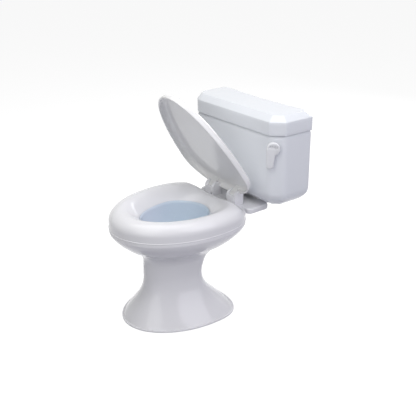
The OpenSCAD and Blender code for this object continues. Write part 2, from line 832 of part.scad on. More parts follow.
module tank_bolts() {
    head_z = tank_bottom + floor_t + gasket_t;
    length = head_z - deck_z + deck_t + nut_h + tip_past_nut;
    color(steel) seat_frame() at_bolts() translate([0, 0, head_z])
        screw(bolt_r, bolt_head_r - 2, bolt_head_t, length);
}

module tank_gaskets() {
    color(grey_rubber) seat_frame() at_bolts() translate([0, 0, tank_bottom + floor_t]) difference() {
        cylinder(r = bolt_head_r, h = gasket_t);
        translate([0, 0, -1]) cylinder(r = bolt_r + screw_gap, h = gasket_t + 2);
    }
}

module tank_wing_nuts() {
    under = deck_z - deck_t;
    color(nylon) seat_frame() at_bolts() translate([0, 0, under - nut_h]) difference() {
        union() {
            cylinder(r = bolt_r + 4, h = nut_h);
            translate([-wing_span/2, -1.5, 0]) cube([wing_span, 3, nut_h - 2]);
        }
        translate([0, 0, -1]) cylinder(r = bolt_r + screw_gap, h = nut_h + 2);
    }
}

module tank_lid() {
    skirt_top = tank_top_z - bevel_h;
    o = lid_overhang;
    skirt_in = wall - o;
    web_t = 3;
    color(white) seat_frame() loft([
        at_z(tank_outline(bevel_in + skirt_in, bevel_in - bevel_rear_in), tank_top_z - wall),
        at_z(tank_outline(skirt_in + 1), skirt_top - wall*0.6),
        at_z(tank_outline(skirt_in), skirt_top - wall*1.2),
        at_z(tank_outline(skirt_in), neck_rim_z + web_t),
        at_z(tank_outline(tank_lip_in + lip_t), neck_rim_z + web_t),
        at_z(tank_outline(tank_lip_in + lip_t), tank_seam_z - lip_h),
        at_z(tank_outline(tank_lip_in), tank_seam_z - lip_h),
        at_z(tank_outline(tank_lip_in), neck_rim_z),
        at_z(tank_outline(skirt_in), neck_rim_z),
        at_z(tank_outline(skirt_in), tank_seam_z),
        at_z(tank_outline(-o), tank_seam_z),
        at_z(tank_outline(-o), skirt_top - 1.5),
        at_z(tank_outline(1.5 - o), skirt_top + 0.6),
        at_z(tank_outline(bevel_in - o - 1, bevel_in - bevel_rear_in), tank_top_z - 0.3),
        at_z(tank_outline(bevel_in - o + 1, bevel_in - bevel_rear_in), tank_top_z)
    ]);
}

// ---- Flush lever ----

module lever_bushing() {
    color(white) seat_frame() on_chamfer() difference() {
        union() {
            rod_x(bushing_flange_r, 0, bushing_flange_t);
            rod_x(bushing_r, -bushing_l, 1);
        }
        rod_x(shaft_r + running_gap, -bushing_l - 1, bushing_flange_t + 1);
    }
}

module lever_nut() {
    color(nylon) seat_frame() on_chamfer() difference() {
        translate([-wall - lever_nut_t, 0, 0]) rotate([0, 90, 0])
            cylinder(r = lever_nut_r, h = lever_nut_t, $fn = 6);
        rod_x(bushing_r + screw_gap, -wall - lever_nut_t - 1, 0);
    }
}

module lever_spring() {
    per_turn = 14;
    ring_n = 6;
    start = -wall - lever_nut_t - 0.3 - spring_wire_r;
    pitch = (bushing_l - wall - lever_nut_t - 0.6 - 2*spring_wire_r)/spring_turns;
    color(steel) seat_frame() on_chamfer() loft([
        for (i = [0:per_turn*spring_turns])
            let (a = 360*i/per_turn, x = start - pitch*i/per_turn)
            [for (j = [0:ring_n - 1])
                let (b = 360*j/ring_n, r = spring_r + spring_wire_r*cos(b))
                [x + spring_wire_r*sin(b), r*cos(a), r*sin(a)]]
    ]);
}

module lever_handle() {
    grooves = 4;
    groove_w = 1.2;
    pitch = lever_top_w/(grooves + 1);
    tip_z = -lever_reach;
    mid = -paddle_shift;
    color(white) seat_frame() on_chamfer() difference() {
        union() {
            translate([handle_x, 0, 0]) rotate([0, 90, 0]) rotate_extrude() polygon(concat(
                [[0, 0], [lever_head_r, 0]],
                [for (a = [0:15:90]) [lever_head_r - 4 + 4*cos(a), head_t - 4 + 4*sin(a)]],
                [[0, head_t + 0.6]]
            ));
            translate([handle_x, 0, 0]) rotate([90, 0, 90]) linear_extrude(lever_t) polygon(rounded([
                [mid + lever_top_w/2, 2, 1], [mid + lever_tip_w/2, tip_z, 3],
                [mid - lever_tip_w/2, tip_z, 3], [mid - lever_top_w/2, 2, 1]
            ]));
        }
        for (k = [0:grooves - 1])
            translate([handle_x + head_t - 0.4, mid - lever_top_w/2 + pitch*(k + 1) - groove_w/2,
                       -lever_head_r])
                cube([3, groove_w, 1.6*lever_head_r]);
        rod_x(shaft_r + screw_gap/2, handle_x - 1, handle_x + 5);
    }
}

module lever_shaft() {
    color(steel) seat_frame() on_chamfer() difference() {
        rod_x(shaft_r, -arm_x - arm_t, handle_x + 4.8);
        rod_x(screw_r + screw_gap, -arm_x - arm_t - 1, -arm_x + 6);
    }
}

module trip_arm() {
    color(nylon) seat_frame() on_chamfer() difference() {
        union() {
            rod_x(shaft_r + 4, -arm_x - arm_t, -arm_x);
            translate([-arm_x - arm_t, -4, -arm_l]) cube([arm_t, 8, arm_l]);
        }
        rod_x(shaft_r + screw_gap/2, -arm_x - arm_t - 1, -arm_x + 1);
    }
}

module lever_retainer() {
    color(steel) seat_frame() on_chamfer() translate([-arm_x - arm_t, 0, 0]) rotate([0, -90, 0]) union() {
        cylinder(r = shaft_r + 3, h = retainer_t);
        translate([0, 0, retainer_t]) screw(screw_r, screw_head_r, screw_head_h, retainer_t + 5);
    }
}

pedestal();
base_plate();
foot_pads();
base_plate_screws();
bowl_shell();
pedestal_screws();
seat_ring();
ring_screws();
hinge_bracket_left();
hinge_bracket_right();
hinge_screws();
hinge_pin_left();
hinge_pin_right();
hinge_washers();
tank_body();
tank_bolts();
tank_gaskets();
tank_wing_nuts();
lever_bushing();
lever_nut();
lever_spring();
seat_lid();
potty_bowl();
tank_lid();
lever_handle();
lever_shaft();
trip_arm();
lever_retainer();
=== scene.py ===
"""Looks of a toilet-shaped potty training chair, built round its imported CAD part. Metres, +Z up."""
import json
import math

import bmesh
import bpy
import numpy as np
from mathutils import Matrix, Vector


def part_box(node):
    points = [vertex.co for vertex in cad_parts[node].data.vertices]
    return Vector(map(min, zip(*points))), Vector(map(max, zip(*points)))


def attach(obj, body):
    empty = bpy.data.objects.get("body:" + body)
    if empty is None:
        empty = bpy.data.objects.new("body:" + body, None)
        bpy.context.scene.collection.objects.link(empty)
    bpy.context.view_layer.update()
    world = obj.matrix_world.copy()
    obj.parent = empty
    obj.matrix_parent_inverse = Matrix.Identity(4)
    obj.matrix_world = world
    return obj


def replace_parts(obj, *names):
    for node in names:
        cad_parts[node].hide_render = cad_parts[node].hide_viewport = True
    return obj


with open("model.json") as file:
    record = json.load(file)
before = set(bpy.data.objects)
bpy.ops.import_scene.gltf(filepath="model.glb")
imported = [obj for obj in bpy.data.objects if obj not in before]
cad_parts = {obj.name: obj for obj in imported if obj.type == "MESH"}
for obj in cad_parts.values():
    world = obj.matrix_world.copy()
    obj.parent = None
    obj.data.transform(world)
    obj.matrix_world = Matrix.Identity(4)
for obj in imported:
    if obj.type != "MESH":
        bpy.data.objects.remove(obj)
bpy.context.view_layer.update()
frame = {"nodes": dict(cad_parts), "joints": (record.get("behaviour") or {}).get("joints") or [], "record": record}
JOINTS = {j["name"]: j for j in frame["joints"]}
MM = 0.001

# ---- Sizes shared with the CAD part, read back from its boxes and joints ----

HINGE = Vector(JOINTS["lid_hinge"]["pos_m"])
LID_OPEN = -math.radians(JOINTS["lid_hinge"]["range_deg"][0])
LEVER = Vector(JOINTS["flush_lever"]["pos_m"])
LEVER_OUT = Vector(JOINTS["flush_lever"]["axis"])
HINGE_REACH = 113*MM                  # from the seat's centre back to the hinge
SEAT_Y = HINGE.y - HINGE_REACH        # reaches to the front and rear are measured from here

foot_lo, foot_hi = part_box("pedestal")
FOOT = dict(w=foot_hi.x - foot_lo.x, front=SEAT_Y - foot_lo.y, rear=foot_hi.y - SEAT_Y)
FOOT_Z, NECK_Z = foot_lo.z, foot_hi.z
ring_lo, ring_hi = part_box("seat_ring")
RING_W = ring_hi.x - ring_lo.x
RING_FRONT = SEAT_Y - ring_lo.y
SEAT_H = ring_hi.z
tank_lo, tank_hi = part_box("tank_body")
TANK_HALF_W = tank_hi.x
TANK_FRONT, TANK_REAR = tank_lo.y - SEAT_Y, tank_hi.y - SEAT_Y
TANK_Z = tank_lo.z
COVER_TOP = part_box("tank_lid")[1].z

# ---- Shapes between those sizes ----

SIDES = 224                           # points round an egg-shaped section
WALL = 3*MM

# Foot and waist
WAIST = dict(w=110*MM, front=104*MM, rear=26*MM, z=98*MM)
NECK = dict(w=130*MM, front=100*MM, rear=54*MM)
FOOT_SQUARE, NECK_SQUARE = 2.8, 2.15
FLARE_POWER, NECK_POWER = 1.7, 1.7
RIM_H, RIM_STEP = 5*MM, 1.2*MM

# Bowl
BELLY_Z, BELLY_SQUARE = 209*MM, 1.3
NECK_CURVE_H, NECK_CURVE_K = 20*MM, 0.42      # the hollow curve between neck and belly

# Seat ring
SEAM_Z, SHOULDER_Z = 215.5*MM, 229*MM
RING_REAR, RING_SQUARE = 122*MM, 2.6
BEAD_H, BEAD_PROUD = 2*MM, 0.8*MM
CREST_SHARE, FUNNEL_POWER = 0.42, 1.6
OPENING = dict(w=132*MM, front=105*MM, rear=56*MM, z=229*MM)
OPENING_SQUARE = 1.78
LEDGE_Z, LEDGE_W = 225*MM, 1*MM
DROP_FROM, DROP_TO = 70*MM, 105*MM            # where the ring comes down to the deck

# Deck, tongue, pad under the hinges and plinth under the tank
DECK_Z, DECK_T, DECK_CORNER_R = 230*MM, 13*MM, 12*MM
DECK_W, DECK_FRONT, DECK_REAR = 176*MM, 111*MM, 172*MM
TONGUE_W, TONGUE_FRONT, TONGUE_REAR = 124*MM, 118*MM, 206*MM
PAD_T, PAD_FRONT, PAD_REAR = 8*MM, 99*MM, 126*MM
PLINTH_IN, PLINTH_FRONT, PLINTH_REAR = 6*MM, 168*MM, 203*MM
REAR_LOW_Z = DECK_Z + 1.2*MM
REAR_DROP = (SEAT_H - REAR_LOW_Z)/(SEAT_H - OPENING["z"])

# Potty bowl
POT_WALL, POT_GAP, POT_CURVE = 1.6*MM, 0.5*MM, 1.1
POT_FLOOR_Z, POT_FLOOR_W = 163*MM, 76*MM
POT_FLOOR_FRONT, POT_FLOOR_REAR = POT_FLOOR_W*0.72, POT_FLOOR_W*0.42

# Lid and hinges
LID = dict(w=218*MM, front=212*MM, rear=71*MM, depth=18*MM)
LID_RIM_Z = SEAT_H + 1*MM
LID_Y = HINGE.y + 5.8*MM - LID["rear"]
LID_TOP = LID_RIM_Z + LID["depth"]
HINGE_SPACING, KNUCKLE_W, KNUCKLE_R = 76*MM, 14*MM, 10*MM
EAR_R, EAR_T, LUG_W = 12*MM, 5.5*MM, 26.84*MM
PIN_HEAD = 1.7*MM                             # the ears reach out over the heads of the pins

# Tank and its lid
TANK_CHAMFER, TANK_REAR_R, TANK_FILLET = 24*MM, 6*MM, 36*MM
TANK_SEAM_Z, TANK_SHOULDER, SEAM_GAP = 400*MM, 4.2*MM, 0.7*MM
OVERHANG = 2*MM
BEVEL_H, BEVEL_IN, BEVEL_REAR_IN = 11*MM, 15*MM, 4*MM
LEFT_FROM, LEFT_OVER = 40*MM, 85*MM           # where the left end of the tank lid reaches out

# Lever
GROOVE_PITCH, GROOVE_DEPTH = 4.8*MM, 2.2*MM   # of the finger grooves on its head


# ---- Curves and outlines ----

def smooth(t):
    t = np.clip(t, 0, 1)
    return t*t*(3 - 2*t)


def mix(a, b, t):
    return a + (b - a)*t


def quarter_turn(steps, first=0.0):
    """Shares from (1, 0) to (0, 1) round a quarter circle, for edges that are rounded over."""
    return [(1 - math.sin(a), 1 - math.cos(a)) for a in np.linspace(first, math.pi/2, steps)]


def egg(half_w, front, rear, rear_square=2.0):
    """An egg-shaped outline round the seat's centre; its rear half is squarer if asked."""
    a = np.arange(SIDES)*2*math.pi/SIDES
    s, c = np.sin(a), np.cos(a)
    power = np.where(c > 0, rear_square, 2.0)
    r = (np.abs(s)**power + np.abs(c)**power)**(-1/power)
    return np.stack([half_w*r*s, np.where(c > 0, rear, front)*r*c], 1)


def at_z(outline, z, y0=SEAT_Y):
    """The outline as points in space, at height z and moved by y0."""
    z = np.broadcast_to(z, len(outline))
    return np.column_stack([outline[:, 0], outline[:, 1] + y0, z])


def arc(centre, r, a0, a1, steps):
    """Points of an arc, angles in degrees."""
    angles = [math.radians(mix(a0, a1, k/steps)) for k in range(steps + 1)]
    return [(centre[0] + r*math.cos(a), centre[1] + r*math.sin(a)) for a in angles]


def rounded(corners, steps=8, between=10):
    """A convex outline, corners clockwise as (x, y, radius), with points along its straight stretches."""
    arcs = []
    for i, (x, y, r) in enumerate(corners):
        px, py = corners[i - 1][:2]
        nx, ny = corners[(i + 1) % len(corners)][:2]
        a_in = math.atan2(y - py, x - px) + math.pi/2
        a_out = math.atan2(ny - y, nx - x) + math.pi/2
        turn = (a_out - a_in + math.pi) % (2*math.pi) - math.pi
        n_in = np.array([math.cos(a_in), math.sin(a_in)])
        n_out = np.array([math.cos(a_out), math.sin(a_out)])
        centre = np.array([x, y]) - r*(n_in + n_out)/(1 + n_in @ n_out)
        angles = [a_in + turn*k/steps for k in range(steps + 1)]
        arcs.append([centre + r*np.array([math.cos(a), math.sin(a)]) for a in angles])
    points = []
    for i, a in enumerate(arcs):
        ahead = arcs[(i + 1) % len(arcs)][0]
        points += a + [mix(a[-1], ahead, k/between) for k in range(1, between)]
    return np.array(points)


def drawn_in(outline, inset):
    """A flat outline with each point moved towards its middle by inset."""
    middle = outline.mean(0)
    away = outline - middle
    return middle + away*(1 - inset/np.linalg.norm(away, axis=1, keepdims=True))


def shrunk(ring, share, z):
    """A ring in space, scaled towards its middle and laid at height z."""
    middle = ring.mean(0)
    ring = middle + (ring - middle)*share
    ring[:, 2] = z
    return ring


# ---- Meshes ----

def skin(name, rings, material, body, closed=False, sharp=32, turn=None):
    """A mesh through rings of points; closed joins the last to the first, otherwise both are capped."""
    n = len(rings[0])
    points = np.concatenate(rings)
    if turn is not None:
        points = points @ np.array(turn.to_3x3()).T + np.array(turn.translation)
    faces = []
    spans = len(rings) if closed else len(rings) - 1
    for k in range(spans):
        a, b = k*n, ((k + 1) % len(rings))*n
        faces += [(a + i, a + (i + 1) % n, b + (i + 1) % n, b + i) for i in range(n)]
    if not closed:
        last = (len(rings) - 1)*n
        faces += [tuple(range(n - 1, -1, -1)), tuple(range(last, last + n))]
    mesh = bpy.data.meshes.new(name)
    mesh.from_pydata(points.tolist(), [], faces)
    turn_faces_out(mesh)
    mesh.shade_smooth()
    mesh.set_sharp_from_angle(angle=math.radians(sharp))
    mesh.materials.append(material)
    piece = bpy.data.objects.new(name, mesh)
    bpy.context.scene.collection.objects.link(piece)
    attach(piece, body)
    return piece


def turn_faces_out(mesh):
    bm = bmesh.new()
    bm.from_mesh(mesh)
    bmesh.ops.recalc_face_normals(bm, faces=bm.faces)
    bm.to_mesh(mesh)
    bm.free()


def slice_across(name, outline_yz, x0, x1, material, body, turn=None):
    """A slice from x0 to x1 with the outline given as y and z points, its edges rounded."""
    edge = 0.8*MM
    outline = np.array(outline_yz)

    def ring(x, inset):
        o = drawn_in(outline, inset)
        return np.column_stack([np.full(len(o), x), o])

    rings = [ring(x0 + edge*c, edge*s) for s, c in quarter_turn(5)]
    rings += [ring(x1 - edge*s, edge*c) for s, c in quarter_turn(5)]
    return skin(name, rings, material, body, turn=turn)


def slab(name, half_w, front, rear, z0, z1, edge, front_r=DECK_CORNER_R):
    """A flat plate of the shell with rounded corners and edges."""
    rear_r = DECK_CORNER_R

    def outline(inset, z):
        x, y0, y1 = half_w - inset, front + inset, rear - inset
        return at_z(rounded([(x, y1, rear_r - inset), (x, y0, front_r - inset),
                             (-x, y0, front_r - inset), (-x, y1, rear_r - inset)]), z)

    rings = [outline(edge*s, z0 + edge*c) for s, c in quarter_turn(7)]
    rings += [outline(edge*c, z1 - edge*s) for s, c in quarter_turn(7)]
    return skin(name, rings, SHELL, "base")


# ---- Materials ----

def link(tree, a, b):
    tree.links.new(a, b)


def noise(tree, scale, detail=2.0, rough=0.5):
    coords = tree.nodes.get("Coords") or tree.nodes.new("ShaderNodeTexCoord")
    coords.name = "Coords"
    node = tree.nodes.new("ShaderNodeTexNoise")
    node.inputs["Scale"].default_value = scale
    node.inputs["Detail"].default_value = detail
    node.inputs["Roughness"].default_value = rough
    link(tree, coords.outputs["Object"], node.inputs["Vector"])
    return node.outputs["Fac"]


def spread(tree, value, low, high):
    """The middle of a noise's range, stretched to go from low to high."""
    node = tree.nodes.new("ShaderNodeMapRange")
    node.inputs["From Min"].default_value = 0.3
    node.inputs["From Max"].default_value = 0.7
    node.inputs["To Min"].default_value = low
    node.inputs["To Max"].default_value = high
    link(tree, value, node.inputs["Value"])
    return node.outputs["Result"]


def bump(tree, height, distance, below=None):
    node = tree.nodes.new("ShaderNodeBump")
    node.inputs["Distance"].default_value = distance
    node.inputs["Strength"].default_value = 1.0
    link(tree, height, node.inputs["Height"])
    if below is not None:
        link(tree, below, node.inputs["Normal"])
    return node.outputs["Normal"]


def blend(tree, factor):
    """A colour mix, driven by factor; the caller sets or links its two colours."""
    node = tree.nodes.new("ShaderNodeMix")
    node.data_type = "RGBA"
    link(tree, factor, node.inputs["Factor"])
    return node


def surface(name, colour, tint, rough, rough_spread, grain, grain_depth, wave_depth=0.0, **fixed):
    """A material with a slightly uneven colour and gloss, a fine grain and a slow waviness."""
    cloud_scale, smear_scale, wave_scale = 9, 35, 22
    material = bpy.data.materials.new(name)
    material.use_nodes = True
    tree = material.node_tree
    shader = tree.nodes["Principled BSDF"]
    for socket, value in fixed.items():
        shader.inputs[socket.replace("_", " ")].default_value = value
    colours = blend(tree, spread(tree, noise(tree, cloud_scale, 3), 0, 1))
    colours.inputs["A"].default_value = (*colour, 1)
    colours.inputs["B"].default_value = (*[c*t for c, t in zip(colour, tint)], 1)
    link(tree, colours.outputs["Result"], shader.inputs["Base Color"])
    gloss = spread(tree, noise(tree, smear_scale, 4, 0.6), rough - rough_spread, rough + rough_spread)
    link(tree, gloss, shader.inputs["Roughness"])
    normal = bump(tree, noise(tree, grain, 3, 0.6), grain_depth)
    if wave_depth:
        normal = bump(tree, noise(tree, wave_scale, 1), wave_depth, normal)
    link(tree, normal, shader.inputs["Normal"])
    return material


def gloss_white(name, colour, rough=0.24):
    return surface(name, colour, tint=(0.985, 0.985, 0.99), rough=rough, rough_spread=0.03, grain=1400,
                   grain_depth=0.012*MM, wave_depth=0.05*MM, Coat_Weight=0.5, Coat_Roughness=0.05,
                   Specular_IOR_Level=0.15)


def paint_shade_along_y(material, colour, y0, y1):
    """Paints shade into a material: its colour runs over into another, darker one from y0 to y1."""
    tree = material.node_tree
    shader = tree.nodes["Principled BSDF"]
    before = shader.inputs["Base Color"].links[0].from_socket
    axes = tree.nodes.new("ShaderNodeSeparateXYZ")
    link(tree, tree.nodes["Coords"].outputs["Object"], axes.inputs["Vector"])
    along = tree.nodes.new("ShaderNodeMapRange")
    along.interpolation_type = "SMOOTHSTEP"
    along.inputs["From Min"].default_value = y0
    along.inputs["From Max"].default_value = y1
    link(tree, axes.outputs["Y"], along.inputs["Value"])
    colours = blend(tree, along.outputs["Result"])
    link(tree, before, colours.inputs["A"])
    colours.inputs["B"].default_value = (*colour, 1)
    link(tree, colours.outputs["Result"], shader.inputs["Base Color"])


SHELL = gloss_white("shell_plastic", (0.80, 0.80, 0.82), 0.2)
LID_WHITE = gloss_white("lid_plastic", (0.85, 0.85, 0.847))
TANK_WHITE = gloss_white("tank_plastic", (0.775, 0.80, 0.835))
HINGE_WHITE = gloss_white("hinge_plastic", (0.90, 0.90, 0.93))
LEVER_WHITE = gloss_white("lever_plastic", (0.76, 0.77, 0.79))
POT_BLUE = gloss_white("pot_plastic_look", (0.72, 0.775, 0.86), 0.26)
# painted shade: the potty bowl's blue darkens towards its rear wall, standing in for the shadow under the far rim
paint_shade_along_y(POT_BLUE, (0.62, 0.71, 0.80), SEAT_Y - 70*MM, SEAT_Y + 30*MM)
NYLON = surface("nylon_look", (0.70, 0.70, 0.69), tint=(0.95, 0.95, 0.94), rough=0.5, rough_spread=0.06,
                grain=2200, grain_depth=0.03*MM)
RUBBER = surface("rubber_look", (0.075, 0.08, 0.085), tint=(0.8, 0.8, 0.8), rough=0.75,
                 rough_spread=0.07, grain=1500, grain_depth=0.06*MM)
STEEL = surface("zinc_steel_look", (0.60, 0.61, 0.63), tint=(0.88, 0.88, 0.9), rough=0.3,
                rough_spread=0.08, grain=2600, grain_depth=0.012*MM, Metallic=1.0)
NODE_LOOKS = {"plain_nylon": NYLON, "soft_rubber": RUBBER, "plain_steel": STEEL, "shell_white": SHELL,
              "tank_white": TANK_WHITE, "lid_white": LID_WHITE, "lever_white": LEVER_WHITE,
              "pot_plastic": POT_BLUE}
for part in frame["record"]["subparts"]:
    node = frame["nodes"][part["node"]]
    node.data.materials.clear()
    node.data.materials.append(NODE_LOOKS[part["material_slot"]])


# ---- Foot and pedestal ----

def flare(u):
    """How far the pedestal has spread from waist (0) to floor (1)."""
    return (u**FLARE_POWER + (1 - math.cos(math.pi*u**1.3))/2)/2


def pedestal_section(z, inset):
    down = flare((WAIST["z"] - z)/WAIST["z"]) if z < WAIST["z"] else 0
    up = ((z - WAIST["z"])/(NECK_Z - WAIST["z"]))**NECK_POWER if z > WAIST["z"] else 0

    def between(key, half=1.0):
        return half*(WAIST[key] + (FOOT[key] - WAIST[key])*down + (NECK[key] - WAIST[key])*up) - inset

    square = 2 + (FOOT_SQUARE - 2)*down + (NECK_SQUARE - 2)*up
    return at_z(egg(between("w", 0.5), between("front"), between("rear"), square), z)


def foot_ring(inset, z):
    return at_z(egg(FOOT["w"]/2 - inset, FOOT["front"] - inset, FOOT["rear"] - inset, FOOT_SQUARE), z)


def make_pedestal():
    edge = 0.7*MM
    inside = np.linspace(NECK_Z - 4*MM, FOOT_Z, 30)
    rings = [pedestal_section(z, RIM_STEP + WALL) for z in inside]
    rings += [foot_ring(edge, FOOT_Z), foot_ring(0, FOOT_Z + edge), foot_ring(0, RIM_H - edge),
              foot_ring(0.3*edge, RIM_H - 0.3*edge), foot_ring(edge, RIM_H)]
    outside = [*np.linspace(RIM_H, WAIST["z"], 54), *np.linspace(WAIST["z"], NECK_Z, 26)[1:]]
    rings += [pedestal_section(z, RIM_STEP) for z in outside]
    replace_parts(skin("pedestal_skin", rings, SHELL, "base"), "pedestal")


# ---- Bowl ----

def bowl_section(s, z, inset):
    """The bowl's section, s of the way from the neck (0) to the belly (1)."""
    return at_z(egg(mix(NECK["w"], RING_W - 2*BEAD_PROUD, s)/2 - inset,
                    mix(NECK["front"], RING_FRONT - BEAD_PROUD, s) - inset,
                    mix(NECK["rear"], RING_REAR - BEAD_PROUD, s) - inset,
                    mix(NECK_SQUARE, RING_SQUARE, s)), z)


def belly(k):
    """Share of the full width, and the height, at k from the neck (0) to the belly (1)."""
    p = 2/BELLY_SQUARE
    return math.sin(k*math.pi/2)**p, BELLY_Z - (BELLY_Z - NECK_Z)*math.cos(k*math.pi/2)**p


def make_bowl():
    edge, floor_t, lip_h = 0.6*MM, 4*MM, 2*MM
    low = pedestal_section(NECK_Z - NECK_CURVE_H, RIM_STEP)
    corner = bowl_section(0, NECK_Z, 0)
    s, z = belly(NECK_CURVE_K)
    high = bowl_section(s, z, 0)
    rings = [(1 - u)**2*low + 2*u*(1 - u)*corner + u**2*high for u in np.linspace(0, 1, 15)]
    for k in np.linspace(NECK_CURVE_K, 1, 50)[1:]:
        s, z = belly(k)
        rings.append(bowl_section(s, z, 0))
    rings += [bowl_section(1, SEAM_Z - edge, 0), bowl_section(1, SEAM_Z - 0.3*edge, 0.3*edge),
              bowl_section(1, SEAM_Z, edge), bowl_section(1, SEAM_Z, WALL)]
    for k in np.linspace(1, 0, 24):
        s, z = belly(k)
        rings.append(bowl_section(s, min(z + floor_t*(1 - s), SEAM_Z - lip_h), WALL))
    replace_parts(skin("bowl_skin", rings, SHELL, "base"), "bowl_shell")


# ---- Seat ring and deck ----

def ring_section(t, inset, z, below=0.0):
    """The ring's section, t of the way from its edge (0) to the opening (1); its rear comes down."""
    outline = egg(mix(RING_W, OPENING["w"], t)/2 - inset, mix(RING_FRONT, OPENING["front"], t) - inset,
                  mix(RING_REAR, OPENING["rear"], t) - inset, mix(RING_SQUARE, OPENING_SQUARE, t))
    rear = smooth((outline[:, 1] - DROP_FROM)/(DROP_TO - DROP_FROM))
    drop = REAR_DROP*max(0, z - OPENING["z"])*rear
    return at_z(outline, z - drop - below)


def crest(a):
    """Share of the way to the opening, and height, at angle a up the ring's outside."""
    return CREST_SHARE*(1 - math.cos(a)), SHOULDER_Z + (SEAT_H - SHOULDER_Z)*math.sin(a)


def funnel(v):
    """The same from the crest (0) down to the opening (1)."""
    return mix(CREST_SHARE, 1, v), mix(SEAT_H, OPENING["z"], v**FUNNEL_POWER)


def make_seat_ring():
    lip, under = 0.7*MM, 1.3*WALL
    ledge_low = LEDGE_Z - WALL
    rings = []
    for a in np.linspace(0, math.pi, 9):
        rings.append(ring_section(0, BEAD_PROUD*(1 - math.sin(a)), SEAM_Z + BEAD_H/2*(1 - math.cos(a))))
    rings += [ring_section(0, BEAD_PROUD, z) for z in np.linspace(SEAM_Z + BEAD_H, SHOULDER_Z, 6)[1:]]
    for a in np.linspace(0, math.pi/2, 28)[1:]:
        t, z = crest(a)
        rings.append(ring_section(t, BEAD_PROUD*math.cos(a), z))
    for v in np.linspace(0, 1, 34)[1:-1]:
        t, z = funnel(v)
        rings.append(ring_section(t, 0, z))
    rings += [ring_section(1, -lip*s, OPENING["z"] - lip*c) for s, c in quarter_turn(7)]
    rings += [ring_section(1, 0, LEDGE_Z), ring_section(1, LEDGE_W, LEDGE_Z),
              ring_section(1, LEDGE_W, ledge_low), ring_section(1, -WALL, ledge_low)]
    # back under the crest to the seam
    for v in (0.75, 0.5, 0.25):
        t, z = funnel(v)
        rings.append(ring_section(t, 0, z, under))
    for a in np.radians([90, 60, 30, 0]):
        t, z = crest(a)
        rings.append(ring_section(t, (WALL + BEAD_PROUD)*math.cos(a), z, WALL*math.sin(a)))
    rings.append(ring_section(0, WALL + BEAD_PROUD, SEAM_Z))
    piece = skin("seat_ring_skin", rings, SHELL, "base", closed=True, sharp=40)
    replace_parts(piece, "seat_ring")


def make_deck():
    """The deck behind the seat, its tongue under the tank, the hinges' pad and the tank's plinth."""
    low = DECK_Z - DECK_T
    slab("deck_wide", DECK_W/2, DECK_FRONT, DECK_REAR, low, DECK_Z, edge=4*MM)
    slab("deck_tongue", TONGUE_W/2, TONGUE_FRONT, TONGUE_REAR, low, DECK_Z + 0.2*MM, edge=4*MM)
    slab("hinge_pad", TONGUE_W/2, PAD_FRONT, PAD_REAR, DECK_Z - PAD_T, DECK_Z + 0.4*MM, edge=2*MM,
         front_r=4*MM)
    slab("tank_plinth", TONGUE_W/2 - PLINTH_IN, PLINTH_FRONT, PLINTH_REAR, DECK_Z - 2*MM, TANK_Z,
         edge=1*MM, front_r=8*MM)


# ---- Potty bowl ----

def make_pot():
    half_w, front, rear = OPENING["w"]/2 - POT_GAP, OPENING["front"] - POT_GAP, OPENING["rear"] - POT_GAP
    seat_in, edge = LEDGE_W + 0.5*MM, 1*MM
    top, under = OPENING["z"] - 0.3*MM, LEDGE_Z - 1*MM

    def rim(inset, z):
        return at_z(egg(half_w - inset, front - inset, rear - inset, OPENING_SQUARE), z)

    def wall(k, inset, lift=0.0):
        """The wall's section from the floor (0) to the ledge (1)."""
        s = math.sin(k*math.pi/2)**POT_CURVE
        z = mix(under, POT_FLOOR_Z, math.cos(k*math.pi/2)**POT_CURVE) if k < 1 else under
        return at_z(egg(mix(POT_FLOOR_W/2, half_w - seat_in, s) - inset,
                        mix(POT_FLOOR_FRONT, front - seat_in, s) - inset,
                        mix(POT_FLOOR_REAR, rear - seat_in, s) - inset,
                        mix(2, OPENING_SQUARE, s)), z + lift*(1 - s))

    rings = [wall(k, 0) for k in np.linspace(0, 1, 20)]
    rings += [rim(seat_in, LEDGE_Z), rim(0.5*MM, LEDGE_Z), rim(0, LEDGE_Z + 0.5*MM), rim(0, top - edge)]
    rings += [rim(edge*c, top - edge*s) for s, c in quarter_turn(5, 0.3)]
    for v in np.linspace(0, 1, 14)[1:]:
        rings.append(rim(mix(edge, seat_in + POT_WALL, v), mix(top, under, v**1.5)))
    rings += [wall(k, POT_WALL, POT_WALL) for k in np.linspace(1, 0, 44)[1:]]
    for f in (0.8, 0.5, 0.2):
        floor = egg(f*(POT_FLOOR_W/2 - POT_WALL), f*(POT_FLOOR_FRONT - POT_WALL),
                    f*(POT_FLOOR_REAR - POT_WALL))
        rings.append(at_z(floor, POT_FLOOR_Z + POT_WALL))
    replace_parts(skin("potty_bowl_skin", rings, POT_BLUE, "bowl"), "potty_bowl")


def make_ring_screws():
    """The screws that hold the seat ring, drawn under its lip, clear of the potty bowl."""
    lo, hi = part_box("ring_screws")
    head_r, shank_r, head_h, out = 2.8*MM, 1.5*MM, 2.4*MM, 6.5*MM
    top = LEDGE_Z - WALL - 0.5*MM
    angles = np.arange(24)*2*math.pi/24
    profile = ((shank_r, lo.z), (shank_r, top - head_h), (head_r, top - head_h), (head_r, top))
    screws = []
    for side, label in ((-1, "left"), (1, "right")):
        x = side*(hi.x - head_r + out)
        for y, place in ((lo.y + head_r, "front"), (hi.y - head_r, "rear")):
            rings = [np.column_stack([x + r*np.cos(angles), y + r*np.sin(angles),
                                      np.full(len(angles), z)]) for r, z in profile]
            screws.append(skin(f"ring_screw_{place}_{label}", rings, STEEL, "base"))
    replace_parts(screws[0], "ring_screws")


# ---- Seat lid and hinges ----

# the lid is drawn closed and swung open about the hinge
SWING = Matrix.Translation(HINGE) @ Matrix.Rotation(-LID_OPEN, 4, "X") @ Matrix.Translation(-HINGE)


def lid_section(inset, z):
    return at_z(egg(LID["w"]/2 - inset, LID["front"] - inset, LID["rear"] - inset), z, LID_Y)


